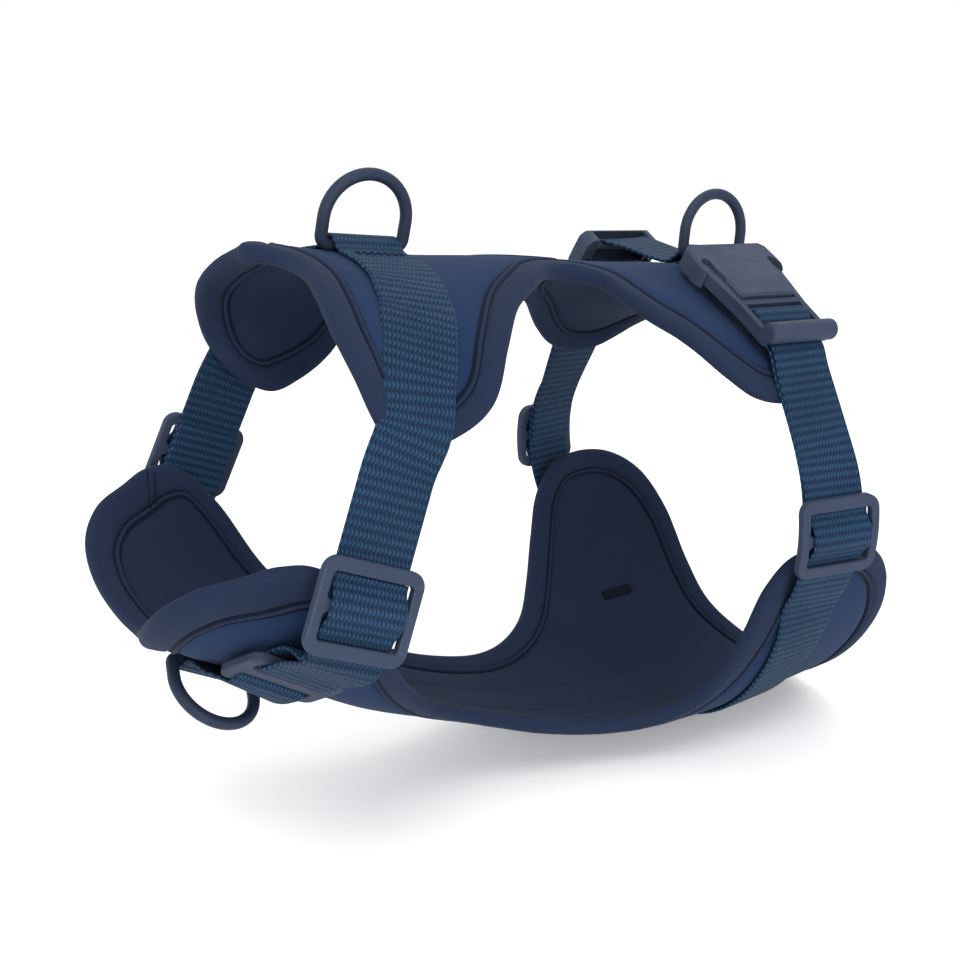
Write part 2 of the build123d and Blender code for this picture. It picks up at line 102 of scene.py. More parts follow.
# Cross-sections under the back panel: x, half width, rise, tuck, widest level, pinched shoulders
BACK_RIBS = [
    (-100, 67, 39.5, 32, 48.4, 0), (-80, 64, 40, 32, 48.1, 0), (-60, 57, 39, 32, 45.8, 0),
    (-42, 55, 39, 32, 43.8, 0), (-20, 56, 42.3, 32, 38.3, 0), (15, 57, 44, 32, 34.3, 0),
    (55, 61, 46, 32, 27.7, 0.03), (80, 63, 46, 32, 25.9, 0.13), (100, 63, 45, 32, 24.6, 0.17),
    (130, 61, 43, 32, 24.0, 0.17),
]
# Cross-sections of the chest panel: x, half width, rise from the keel, roundness, keel level
CHEST_RIBS = [
    (-142, 54, 54, 1.75, -24), (-120, 57, 55, 1.75, -35), (-92, 63, 57, 1.8, -50),
    (-60, 64, 60, 1.85, -69), (-24, 66, 61, 2.0, -83), (10, 68, 66, 2.2, -96),
    (40, 71, 74, 2.3, -103.5), (72, 71, 84, 2.3, -108), (105, 77, 98, 2.1, -109.5),
    (140, 74, 92, 2.0, -109.5), (168, 68, 84, 2.0, -109),
]
# Edge of each panel laid flat: x along the dog, w across from the middle line, right half
BACK_EDGE = [
    (-89, 0), (-83, 12), (-80.5, 28), (-82.5, 42), (-84, 58), (-81.5, 72), (-77.5, 82),
    (-71, 89), (-60, 91.5), (-48, 86), (-33, 75), (-22.5, 57), (-9, 39), (4, 28), (19.5, 16),
    (29, 14), (36.5, 20), (38.5, 31), (44, 43), (53, 52), (66.5, 67.5), (76, 75), (91.5, 77.5),
    (103, 74.5), (111, 68), (117, 59), (122, 47), (126, 30), (128, 13), (128.5, 0),
]
CHEST_EDGE = [
    (-131, 0), (-134, 12), (-136.5, 28), (-135, 43), (-128, 58), (-116, 71.5), (-105, 83),
    (-97, 88), (-88, 88.5), (-79.5, 82.5), (-66, 62.5), (-53, 48), (-39, 38), (-22, 33.5),
    (4, 35), (26, 39.5), (42, 47), (56, 58), (66, 75), (72, 92), (79, 113.5), (88.5, 124.5),
    (104, 128), (119, 126), (137, 114.5), (151, 90), (154.5, 62), (155, 40), (158.5, 18),
    (160, 0),
]


def along(x, ribs, column):
    """A value of the cross-section table at x, eased between its rows."""
    if x <= ribs[0][0]:
        return ribs[0][column]
    if x >= ribs[-1][0]:
        return ribs[-1][column]
    i = max(k for k in range(len(ribs) - 1) if ribs[k][0] <= x)

    def slope(k):
        lo, hi = ribs[max(k - 1, 0)], ribs[min(k + 1, len(ribs) - 1)]
        return (hi[column] - lo[column]) / (hi[0] - lo[0])

    h = ribs[i + 1][0] - ribs[i][0]
    t = (x - ribs[i][0]) / h
    a, b = ribs[i][column], ribs[i + 1][column]
    return (
        (2 * t**3 - 3 * t**2 + 1) * a + (t**3 - 2 * t**2 + t) * h * slope(i)
        + (3 * t**2 - 2 * t**3) * b + (t**3 - t**2) * h * slope(i + 1)
    )


def back_rib(x, turn):
    """The back panel's rib at x, as y and z, turned from straight up."""
    half, rise, tuck, level, pinch = (along(x, BACK_RIBS, k) for k in (1, 2, 3, 4, 5))
    s, c = np.sin(turn), np.cos(turn)
    r = ((s / half) ** 2 + (c / np.where(c > 0, rise, tuck)) ** 2) ** -0.5
    r = np.where(c > 0, r * (1 - pinch * np.sin(2 * turn) ** 2), r)
    return r * s, level + r * c


def chest_rib(x, turn):
    """The chest panel's rib at x, as y and z, turned from straight down."""
    half, rise, roundness, keel = (along(x, CHEST_RIBS, k) for k in (1, 2, 3, 4))
    s, c = np.sin(turn), np.cos(turn)
    n = np.where(c < 0, 2, roundness)
    r = (np.abs(s / half) ** n + np.abs(c / rise) ** n) ** (-1 / n)
    return r * s, keel + rise - r * c


class Skin:
    """One panel's middle surface as a grid of points and normals over x and w."""

    X0, X1, REACH = -150, 175, 145

    def __init__(self, rib, face):
        turn = np.arange(0, 2.31, 0.01)
        ws = np.arange(0, self.REACH + 1.0)
        rows = []
        for x in range(self.X0, self.X1 + 1):
            y, z = rib(x, turn)
            length = np.concatenate([[0], np.cumsum(np.hypot(np.diff(y), np.diff(z)))])
            yy, zz = np.interp(ws, length, y), np.interp(ws, length, z)
            dy, dz = np.gradient(yy), np.gradient(zz)
            dy[0], dz[0] = 1.0, 0.0
            size = np.maximum(np.hypot(dy, dz), 1e-9)
            right = np.stack([np.full_like(yy, x), yy, zz, -face * dz / size, face * dy / size], 1)
            left = right[:0:-1] * [1, -1, 1, -1, 1]
            rows.append(np.concatenate([left, right]))
        self.grid = np.array(rows)

    def at(self, x, w, lift=0.0):
        """Points at x and w, lifted outwards, as an array of millimetres."""
        x, w, lift = np.broadcast_arrays(*(np.asarray(v, float) for v in (x, w, lift)))
        i = np.clip(x - self.X0, 0, self.grid.shape[0] - 1.001)
        j = np.clip(w + self.REACH, 0, self.grid.shape[1] - 1.001)
        a, b = i.astype(int), j.astype(int)
        s, t = (i - a)[..., None], (j - b)[..., None]
        g = self.grid
        v = (g[a, b] * (1 - t) + g[a, b + 1] * t) * (1 - s)
        v += (g[a + 1, b] * (1 - t) + g[a + 1, b + 1] * t) * s
        zero = np.zeros_like(v[..., 3])
        return v[..., :3] + np.stack([zero, v[..., 3], v[..., 4]], -1) * lift[..., None]


back, chest = Skin(back_rib, 1), Skin(chest_rib, -1)


def on(skin, x, w, lift=0.0):
    """One point of a panel's surface at x and w, lifted outwards."""
    return Vector(skin.at(x, w, lift))


# ---- materials ----------------------------------------------------------------------------


def shade(*values, dim=0.36):
    """Linear colour of an 8-bit display colour, dimmed because the studio is bright."""
    line = [v / 255 / 12.92 if v <= 10 else ((v / 255 + 0.055) / 1.055) ** 2.4 for v in values]
    return [v * dim for v in line] + [1.0]


class Nodes:
    """Small helper for writing a node material in lines."""

    def __init__(self, name, roughness, specular=0.35, sheen=0.0, tint=(0.5, 0.6, 0.8, 1)):
        self.material = bpy.data.materials.new(name)
        self.material.use_nodes = True
        self.tree = self.material.node_tree
        self.shader = self.tree.nodes["Principled BSDF"]
        self.shader.inputs["Roughness"].default_value = roughness
        self.shader.inputs["Specular IOR Level"].default_value = specular
        self.shader.inputs["Sheen Weight"].default_value = sheen
        self.shader.inputs["Sheen Roughness"].default_value = 0.5
        self.shader.inputs["Sheen Tint"].default_value = tint

    def add(self, kind, inputs=(), **settings):
        node = self.tree.nodes.new(kind)
        for key, value in settings.items():
            setattr(node, key, value)
        for key, value in dict(inputs).items():
            if isinstance(value, bpy.types.NodeSocket):
                self.tree.links.new(value, node.inputs[key])
            else:
                node.inputs[key].default_value = value
        return node

    def math(self, operation, a, b=0.0, c=0.0):
        return self.add("ShaderNodeMath", {0: a, 1: b, 2: c}, operation=operation).outputs[0]

    def ranged(self, value, low, high, to_low, to_high):
        ends = {0: value, 1: low, 2: high, 3: to_low, 4: to_high}
        return self.add("ShaderNodeMapRange", ends).outputs[0]

    def space(self):
        return self.add("ShaderNodeTexCoord").outputs["Object"]

    def noise(self, scale, detail=3.0, where=None):
        inputs = {"Scale": scale, "Detail": detail, "Vector": where or self.space()}
        return self.add("ShaderNodeTexNoise", inputs).outputs["Fac"]

    def mix(self, factor, a, b):
        node = self.add("ShaderNodeMix", {"Factor": factor}, data_type="RGBA")
        for socket, value in ((node.inputs[6], a), (node.inputs[7], b)):
            if isinstance(value, bpy.types.NodeSocket):
                self.tree.links.new(value, socket)
            else:
                socket.default_value = value
        return node.outputs[2]

    def colour(self, socket):
        self.tree.links.new(socket, self.shader.inputs["Base Color"])

    def rough(self, socket):
        self.tree.links.new(socket, self.shader.inputs["Roughness"])

    def bump(self, height, distance, strength=1.0, before=None):
        inputs = {"Height": height, "Distance": distance, "Strength": strength}
        if before is not None:
            inputs["Normal"] = before
        node = self.add("ShaderNodeBump", inputs)
        self.tree.links.new(node.outputs["Normal"], self.shader.inputs["Normal"])
        return node.outputs["Normal"]


def knit(name, dark, light, depth=0.00012, sheen=0.04):
    """Fine knitted face of laminated cloth, with soft patches and a nap."""
    m = Nodes(name, 0.85, 0.08, sheen)
    fine = m.add("ShaderNodeTexVoronoi", {"Vector": m.space(), "Scale": 1250.0}).outputs["Distance"]
    patches = m.noise(22.0, 2.0)
    flecks = m.noise(900.0, 2.0)
    base = m.mix(patches, dark, light)
    m.colour(m.mix(m.math("MULTIPLY", flecks, 0.35), base, dark))
    soft = m.bump(m.noise(60.0, 2.0), 0.0008, 0.25)
    m.bump(fine, depth, 0.5, soft)
    return m.material


RIB_STEP = 3.0 * MM
TICK_STEP = 1.35 * MM


def woven(name, dark, light):
    """Heavy webbing: ribs across the strap, each a row of short slanted floats; painted shade
    darkens the grooves and the crests are painted lighter.
    """
    m = Nodes(name, 0.68, 0.08, 0.03)
    uv = m.add("ShaderNodeUVMap", uv_map="weave").outputs["UV"]
    split = m.add("ShaderNodeSeparateXYZ", {"Vector": uv})
    u, v = split.outputs["X"], split.outputs["Y"]
    rib = m.math("SINE", m.math("MULTIPLY", u, 2 * math.pi / RIB_STEP))
    lean = m.math("MULTIPLY", rib, 1.3)
    tick = m.math("SINE", m.math("ADD", m.math("MULTIPLY", v, 2 * math.pi / TICK_STEP), lean))
    # painted shade: the colour follows the weave's height, also used for the bump, dark in the
    # grooves and light on the crests
    crest = m.math("MULTIPLY_ADD", rib, 0.35, 0.65)
    floats = m.math("MULTIPLY", m.math("MULTIPLY_ADD", tick, 0.375, 0.575), crest)
    # the painted weave shade, times random patches of tone
    weave_shade_and_patches = m.math("MULTIPLY", floats, m.math("ADD", m.noise(35.0, 2.0), 0.55))
    m.colour(m.mix(weave_shade_and_patches, dark, light))
    m.rough(m.math("MULTIPLY_ADD", m.noise(300.0), 0.2, 0.5))
    m.bump(m.math("MULTIPLY_ADD", m.noise(1500.0), 0.15, floats), 0.0005, 0.8)
    return m.material


def moulded(name, dark, light, roughness, grain):
    """Matt moulding or coated metal: fine grain, faint flow marks and a painted highlight on sharp
    edges.
    """
    m = Nodes(name, roughness, 0.15)
    pointed = m.add("ShaderNodeNewGeometry").outputs["Pointiness"]
    base = m.mix(m.noise(55.0, 4.0), dark, light)
    # painted highlight: sharp convex edges, found by pointiness, mixed toward a paler tint
    m.colour(m.mix(m.ranged(pointed, 0.5, 0.62, 0.0, 0.5), base, shade(104, 116, 140)))
    m.rough(m.ranged(m.noise(160.0, 4.0), 0.3, 0.7, roughness - 0.08, roughness + 0.1))
    m.bump(m.noise(1400.0, 2.0), grain, 0.4)
    return m.material


COVER = knit("navy_cover_knit", shade(42, 66, 110), shade(52, 80, 126))
LINING = knit("dark_lining_knit", shade(43, 56, 86), shade(54, 69, 103))
BINDING = knit("binding_knit", shade(46, 60, 92), shade(56, 72, 106), 0.00018)
SEAM = knit("seam_thread", shade(24, 32, 52), shade(34, 45, 70), 0.0001, 0.05)
WEBBING = woven("ribbed_webbing", shade(22, 42, 70), shade(62, 110, 156))
PLASTIC = moulded("matt_plastic", shade(67, 80, 110), shade(79, 94, 124), 0.58, 0.00004)
METAL = moulded("coated_ring", shade(54, 66, 94), shade(64, 78, 108), 0.5, 0.00003)
PATCH = knit("heat_set_patch", shade(20, 28, 44), shade(26, 36, 54), 0.00005, 0.05)


# ---- mesh makers --------------------------------------------------------------------------
EDGE_POINTS, SEAM_POINTS = 760, 520     # points round a panel's edge and its seams
NET_PITCH = 2.2                         # triangle net of a panel


def outward(verts, faces):
    """The faces of a closed mesh, all turned to look outwards."""
    fans = np.array([(f[0], f[k], f[k + 1]) for f in faces for k in range(1, len(f) - 1)])
    a, b, c = (verts[fans[:, k]] for k in range(3))
    return faces if np.sum(a * np.cross(b, c)) > 0 else [f[::-1] for f in faces]


def piece(name, verts, faces, material, body, nodes=(), uv=None):
    """A smooth mesh from points in millimetres, riding on a body in place of CAD nodes."""
    mesh = bpy.data.meshes.new(name)
    verts = np.asarray(verts) * MM
    mesh.from_pydata([tuple(v) for v in verts], [], outward(verts, faces))
    mesh.polygons.foreach_set("use_smooth", [True] * len(mesh.polygons))
    if uv is not None:
        layer = mesh.uv_layers.new(name="weave")
        index = np.zeros(len(mesh.loops), np.int32)
        mesh.loops.foreach_get("vertex_index", index)
        layer.data.foreach_set("uv", np.asarray(uv, np.float32)[index].ravel())
    mesh.materials.append(material)
    obj = bpy.data.objects.new(name, mesh)
    bpy.context.scene.collection.objects.link(obj)
    if body:
        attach(obj, body)
    if nodes:
        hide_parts(*nodes)
    return obj


def tube_faces(rings, around, closed):
    """Quads of a tube of rings of points, closed end to end or capped."""
    faces = []
    for i in range(rings if closed else rings - 1):
        a, b = i * around, (i + 1) % rings * around
        for k in range(around):
            n = (k + 1) % around
            faces.append((a + k, a + n, b + n, b + k))
    if not closed:
        faces.append(tuple(reversed(range(around))))
        faces.append(tuple(range((rings - 1) * around, rings * around)))
    return faces


def curve_through(half, count):
    """Evenly spaced points of a smooth closed line through a panel's edge table."""
    pts = np.array(half + [(x, -w) for x, w in reversed(half[1:-1])], float)
    ahead, behind = np.roll(pts, -1, 0), np.roll(pts, 1, 0)
    step = np.linalg.norm(ahead - pts, axis=1)
    before = np.roll(step, 1)
    way = (ahead - pts) * (before / step)[:, None] + (pts - behind) * (step / before)[:, None]
    way /= (step + before)[:, None]
    line = []
    for i in range(len(pts)):
        j = (i + 1) % len(pts)
        for t in np.linspace(0, 1, 24, endpoint=False):
            p = (2 * t**3 - 3 * t**2 + 1) * pts[i] + (3 * t**2 - 2 * t**3) * pts[j]
            line.append(p + step[i] * ((t**3 - 2 * t**2 + t) * way[i] + (t**3 - t**2) * way[j]))
    return evenly(np.array(line), count)


def evenly(line, count):
    """A closed line's points, spread evenly."""
    closed = np.vstack([line, line[:1]])
    length = np.concatenate([[0], np.cumsum(np.linalg.norm(np.diff(closed, axis=0), axis=1))])
    marks = np.linspace(0, length[-1], count, endpoint=False)
    return np.stack([np.interp(marks, length, closed[:, k]) for k in range(closed.shape[1])], 1)


def inward(loop):
    """Unit directions into a closed flat line."""
    way = np.roll(loop, -1, 0) - np.roll(loop, 1, 0)
    n = np.stack([-way[:, 1], way[:, 0]], 1)
    n /= np.linalg.norm(n, axis=1)[:, None]
    area = np.sum(loop[:, 0] * np.roll(loop[:, 1], -1) - np.roll(loop[:, 0], -1) * loop[:, 1])
    return n if area > 0 else -n


def drawn_in(loop, inset, count):
    """The closed line drawn in by inset, without the corners that fold over."""
    moved = loop + inward(loop) * inset
    gaps = np.linalg.norm(moved[:, None] - loop[None], axis=2).min(1)
    return evenly(moved[gaps > inset * 0.985], count)


def distance_to(points, loop):
    """Distance of flat points from the nearest point of a line."""
    tree = kdtree.KDTree(len(loop))
    for i, p in enumerate(loop):
        tree.insert((p[0], p[1], 0), i)
    tree.balance()
    return np.array([tree.find((p[0], p[1], 0))[2] for p in points])


def filled(loop, pitch):
    """Points and triangles that fill a closed flat line, with each point's distance from it."""
    low, high = loop.min(0), loop.max(0)
    xs = np.arange(low[0], high[0], pitch)
    ws = np.arange(low[1], high[1], pitch)
    grid = np.array([(x + (j % 2) * pitch / 2, w) for j, w in enumerate(ws) for x in xs])
    a, b = loop, np.roll(loop, -1, 0)
    crossings = np.zeros(len(grid), int)
    for p, q in zip(a, b):
        spans = (p[1] > grid[:, 1]) != (q[1] > grid[:, 1])
        if q[1] != p[1]:
            cut = p[0] + (grid[:, 1] - p[1]) / (q[1] - p[1]) * (q[0] - p[0])
            crossings += spans & (grid[:, 0] < cut)
    grid = grid[crossings % 2 == 1]
    grid = grid[distance_to(grid, loop) > pitch * 0.6]
    points = np.vstack([loop, grid])
    out = geometry.delaunay_2d_cdt(
        [Vector(p) for p in points], [], [list(range(len(loop)))], 1, 1e-4
    )
    flat = np.array([tuple(p) for p in out[0]])
    return flat, [tuple(f) for f in out[2]], distance_to(flat, loop)


def rim_of(triangles):
    """Edges of a triangle net that only one triangle has, in that triangle's order."""
    seen = {}
    for f in triangles:
        for a, b in zip(f, f[1:] + f[:1]):
            seen[(a, b)] = seen.get((a, b), 0) + 1
    return [(a, b) for a, b in seen if (b, a) not in seen]


def slab(name, skin, net, low, high, material, body, nodes=()):
    """A closed layer of cloth over a net, between two lifts given at each point."""
    flat, triangles, _ = net
    top = skin.at(flat[:, 0], flat[:, 1], high)
    bottom = skin.at(flat[:, 0], flat[:, 1], low)
    n = len(flat)
    faces = [tuple(f) for f in triangles]
    faces += [tuple(i + n for i in reversed(f)) for f in triangles]
    faces += [(b, a, a + n, b + n) for a, b in rim_of(triangles)]
    return piece(name, np.vstack([top, bottom]), faces, material, body, nodes)


def unit(v):
    """The direction of a vector."""
    return v.normalized()


def smooth_step(t):
    t = np.clip(t, 0, 1)
    return t * t * (3 - 2 * t)


def wobble(flat, pitch, seed):
    """Slow unevenness of laid cloth at flat points, from -1 to 1."""
    return np.array([noise.noise(Vector((x / pitch, w / pitch, seed))) for x, w in flat])


def stitches(name, marks, material, length, radius):
    """Thread stitches, each a small spindle at a (middle, along, outward) mark."""
    verts, faces, around = [], [], 6
    for middle, way, out in marks:
        side = way.cross(out).normalized()
        base = len(verts)
        for t, r in ((-0.5, 0.35), (-0.3, 0.9), (0, 1), (0.3, 0.9), (0.5, 0.35)):
            for k in range(around):
                a = 2 * math.pi * k / around
                spot = middle + way * (t * length) + side * (radius * r * math.cos(a))
                verts.append(spot + out * (radius * r * math.sin(a) - 0.1 * (2 * t) ** 2))
        faces += [tuple(base + i for i in f) for f in tube_faces(5, around, False)]
    piece(name, verts, faces, material, "harness")


# ---- padded panels ------------------------------------------------------------------------


def binding_section():
    """Rolled binding's outline as (distance in from the edge, lift)."""
    half = []
    for a in np.linspace(90, 180, 7):
        t = math.radians(a)
        half.append((2.6 + 2.6 * math.cos(t), BIND_HALF * math.sin(t) ** 0.8))
    upper = [(4.4, 3.0), (6.2, 2.9), (7.6, 2.6), (8.5, 2.1), (9.0, 1.5)]
    outline = [(d, h) for d, h in reversed(half) if h > 0.05]
    top = outline + upper
    return [(0.0, 0.0)] + top + [(9.1, 0.0)] + [(d, -h) for d, h in reversed(top)]


def binding(name, skin, loop, nodes):
    section = np.array(binding_section())
    n = inward(loop)
    rings = []
    for i, (p, d) in enumerate(zip(loop, n)):
        swell = 1 + 0.035 * noise.noise(Vector((i * 0.21, 3.1, 0)))
        flat = p[None] + d[None] * section[:, :1]
        rings.append(skin.at(flat[:, 0], flat[:, 1], section[:, 1] * swell))
    faces = tube_faces(len(loop), len(section), True)
    piece(name, np.vstack(rings), faces, BINDING, "harness", nodes)


def seam_marks(skin, loop, lift, pitch=3.1):
    """Stitch marks along a flat closed line at a lift."""
    length = np.linalg.norm(np.roll(loop, -1, 0) - loop, axis=1).sum()
    line = evenly(loop, int(length / pitch))
    pts = skin.at(line[:, 0], line[:, 1], lift)
    outer = skin.at(line[:, 0], line[:, 1], lift + math.copysign(1, lift))
    marks = []
    for i in range(len(pts)):
        way = Vector(pts[(i + 1) % len(pts)] - pts[i - 1]).normalized()
        marks.append((Vector(pts[i]), way, Vector(outer[i] - pts[i]).normalized()))
    return marks


def cord_ring(name, skin, loop, lift, radius, material, nodes=()):
    """A thin cord laid along a flat closed line."""
    pts = skin.at(loop[:, 0], loop[:, 1], lift)
    outer = skin.at(loop[:, 0], loop[:, 1], lift + math.copysign(1, lift))
    rings, around = [], 8
    for i, p in enumerate(pts):
        way = Vector(pts[(i + 1) % len(pts)] - pts[i - 1]).normalized()
        out = Vector(outer[i] - p).normalized()
        side = way.cross(out).normalized()
        for k in range(around):
            a = 2 * math.pi * k / around
            rings.append(Vector(p) + side * (radius * math.cos(a)) + out * (radius * math.sin(a)))
    faces = tube_faces(len(pts), around, True)
    piece(name, rings, faces, material, "harness", nodes)


def padded_panel(name, skin, half, crease):
    """A panel: crowned pad, lining, rolled binding, cords, seams and stitches."""
    edge = curve_through(half, EDGE_POINTS)
    seam = drawn_in(edge, BIND_W - 0.6, SEAM_POINTS)
    net = filled(seam, NET_PITCH)
    flat, _, reach = net
    puff = smooth_step(reach / 7.0)
    uneven = wobble(flat, 26, 1.7) * 0.22 * puff
    outer = 1.25 + 1.35 * puff + 0.12 * smooth_step((reach - 6) / 16) + uneven
    inner = -1.25 - 1.35 * puff + uneven * 0.5 + crease(flat) * puff
    pad = slab(name + "_pad", skin, net, inner + 0.8, outer, COVER, "harness",
               (name + "_cover", name + "_foam"))
    lining = slab(name + "_lining_cloth", skin, net, inner, inner + 0.78, LINING, None,
                  (name + "_lining",))
    lining.parent = pad
    binding(name + "_rolled_binding", skin, edge, (name + "_binding",))
    groove = drawn_in(edge, BIND_W + 0.9, SEAM_POINTS)
    cord_ring(name + "_outer_cord", skin, groove, 2.2, 0.75, BINDING, (name + "_piping",))
    cord_ring(name + "_inner_cord", skin, groove, -2.2, 0.75, BINDING)
    for inset, tag in ((BIND_W - 0.1, "edge"), (BIND_W + 2.0, "face")):
        line = drawn_in(edge, inset, SEAM_POINTS)
        cord_ring(f"{name}_outer_{tag}_seam", skin, line, 2.05, 0.4, SEAM)
        cord_ring(f"{name}_inner_{tag}_seam", skin, line, -2.05, 0.4, SEAM)
    line = drawn_in(edge, BIND_W - 2.2, SEAM_POINTS)
    marks = seam_marks(skin, line, 2.62) + seam_marks(skin, line, -2.62)
    stitches(name + "_binding_stitches", marks, BINDING, 2.2, 0.2)


def join_seams():
    """Two lines of stitching across the right chest lobe's binding, where it is joined."""
    marks = []
    for start, stop in (((-106.2, 80.5), (-107.6, 66.5)), ((-103.4, 81.5), (-105.1, 67.5))):
        start, stop = np.array(start), np.array(stop)
        for k in range(8):
            flat = start + (stop - start) * k / 7
            ahead = flat + (stop - start) / 14
            low = -3.0 if k < 4 else -2.85
            spot = on(chest, flat[0], flat[1], low)
            way = (on(chest, ahead[0], ahead[1], low) - spot).normalized()
            face = (on(chest, flat[0], flat[1], low - 1) - spot).normalized()
            marks.append((spot, way, face))
    stitches("lobe_join_stitches", marks, SEAM, 1.7, 0.34)


def no_crease(flat):
    return np.zeros(len(flat))


def belly_creases(flat):
    """Two long soft folds in the lining of the belly strip."""
    x, w = flat[:, 0], flat[:, 1]
    span = smooth_step((x + 60) / 50) * smooth_step((150 - x) / 50)
    lines = (9.0 + 3 * np.sin(x / 40), -13.0 + 4 * np.sin(x / 55 + 1))
    return sum(0.55 * np.exp(-(((w - line) / 1.6) ** 2)) for line in lines) * span


padded_panel("back", back, BACK_EDGE, no_crease)
padded_panel("chest", chest, CHEST_EDGE, belly_creases)
join_seams()

# ---- webbing ------------------------------------------------------------------------------


def seat(skin, x, w, lift):
    """A point at a lift square off a panel, with the outward direction there."""
    foot = on(skin, x, w)
    out = (on(skin, x + 1, w) - on(skin, x - 1, w)).cross(on(skin, x, w + 1) - on(skin, x, w - 1))
    out = unit(out) * (1 if out.dot(on(skin, x, w, 1) - foot) > 0 else -1)
    return foot + out * lift, out


def laid(skin, route, step=6):
    """Path of webbing on a panel through (x, w, lift) marks."""
    path = []
    for a, b in zip(route[:-1], route[1:]):
        count = max(1, round(abs(b[1] - a[1]) / step))
        for k in range(count):
            path.append(seat(skin, *(p + (q - p) * k / count for p, q in zip(a, b))))
    return path + [seat(skin, *route[-1])]


def swing(middle, radius, start, stop, right, up, face=1, step=12):
    """Path round a middle point by angle, in the plane of two directions."""
    count = max(2, round(abs(stop - start) / step))
    path = []
    for k in range(count + 1):
        a = math.radians(start + (stop - start) * k / count)
        out = right * math.cos(a) + up * math.sin(a)
        path.append((middle + out * radius, out * face))
    return path


def ease(start, way_in, stop, way_on, out_in, out_on, count):
    """Path from one point and way to another, without its two ends."""
    path, reach = [], (stop - start).length
    for k in range(1, count):
        t = k / count
        p = start * (2 * t**3 - 3 * t**2 + 1) + way_in * (reach * (t**3 - 2 * t**2 + t))
        p = p + stop * (3 * t**2 - 2 * t**3) + way_on * (reach * (t**3 - t**2))
        path.append((p, unit(out_in * (1 - t) + out_on * t)))
    return path


class Place:
    """A place on the harness: along y = way, across x, outwards z."""

    def __init__(self, origin, way, out):
        self.way, self.origin = unit(way), origin
        self.across = unit(self.way.cross(out))
        self.out = self.across.cross(self.way)

    def at(self, y, z):
        return self.origin + self.way * y + self.out * z

    def run(self, marks):
        return [(self.at(y, z), self.out.copy()) for y, z in marks]


def resampled(path, step):
    """Evenly spaced points, ways and outward directions on a smooth line through a path."""
    pts = np.array([tuple(p) for p, _ in path])
    outs = np.array([tuple(o) for _, o in path])
    keep = [0] + [i for i in range(1, len(pts)) if np.linalg.norm(pts[i] - pts[i - 1]) > 0.05]
    pts, outs = pts[keep], outs[keep]
    gaps = np.linalg.norm(np.diff(pts, axis=0), axis=1)
    ways = np.zeros_like(pts)
    ways[1:-1] = (
        (pts[2:] - pts[1:-1]) / gaps[1:, None] * gaps[:-1, None]
        + (pts[1:-1] - pts[:-2]) / gaps[:-1, None] * gaps[1:, None]
    ) / (gaps[1:] + gaps[:-1])[:, None]
    ways[0], ways[-1] = (pts[1] - pts[0]) / gaps[0], (pts[-1] - pts[-2]) / gaps[-1]
    line, faces = [], []
    for i in range(len(pts) - 1):
        for t in np.linspace(0, 1, max(2, int(gaps[i] / 0.3)), endpoint=False):
            p = (2 * t**3 - 3 * t**2 + 1) * pts[i] + (3 * t**2 - 2 * t**3) * pts[i + 1]
            p = p + gaps[i] * ((t**3 - 2 * t**2 + t) * ways[i] + (t**3 - t**2) * ways[i + 1])
            line.append(p)
            faces.append(outs[i] * (1 - t) + outs[i + 1] * t)
    line, faces = np.array(line + [pts[-1]]), np.array(faces + [outs[-1]])
    length = np.concatenate([[0], np.cumsum(np.linalg.norm(np.diff(line, axis=0), axis=1))])
    marks = np.linspace(0, length[-1], max(3, round(length[-1] / step)))
    p = np.stack([np.interp(marks, length, line[:, k]) for k in range(3)], 1)
    o = np.stack([np.interp(marks, length, faces[:, k]) for k in range(3)], 1)
    way = np.gradient(p, axis=0)
    way /= np.linalg.norm(way, axis=1)[:, None]
    o -= way * np.sum(o * way, 1)[:, None]
    o /= np.linalg.norm(o, axis=1)[:, None]
    return p, way, o, marks


def strap_section(width, thick):
    """Webbing's outline as (across, lift): flat faces with rounded selvedges."""
    half, t = width / 2, thick / 2
    top = [(k / 8 * (half - 0.9), t) for k in range(-8, 9)]
    side = [(half - 0.35, t * 0.82), (half, 0.0), (half - 0.35, -t * 0.82)]
    low = [(-a, -b) for a, b in top]
    far = [(-half + 0.35, -t * 0.82), (-half, 0.0), (-half + 0.35, t * 0.82)]
    return np.array(top + side + low + far)


def uncrowded(rings, way, step, reach=24):
    """The rings of a strap, eased along it where a sideways turn crowds its inner edge."""
    gain = np.sum(np.diff(rings, axis=0) * way[:-1, None], 2).min(1) / step
    crowd = np.clip((0.45 - np.append(gain, gain[-1])) / 0.3, 0, 1)
    if crowd.max() == 0:
        return rings
    bell = np.exp(-0.5 * (np.arange(-reach, reach + 1) / 9) ** 2)
    bell /= bell.sum()
    share = np.clip(np.convolve(crowd, bell * 2.5, "same"), 0, 1)[:, None, None]
    first, last = np.repeat(rings[:1], reach, 0), np.repeat(rings[-1:], reach, 0)
    longer = np.concatenate([first, rings, last])
    eased = sum(longer[k:k + len(rings)] * part for k, part in enumerate(bell))
    return rings * (1 - share) + eased * share


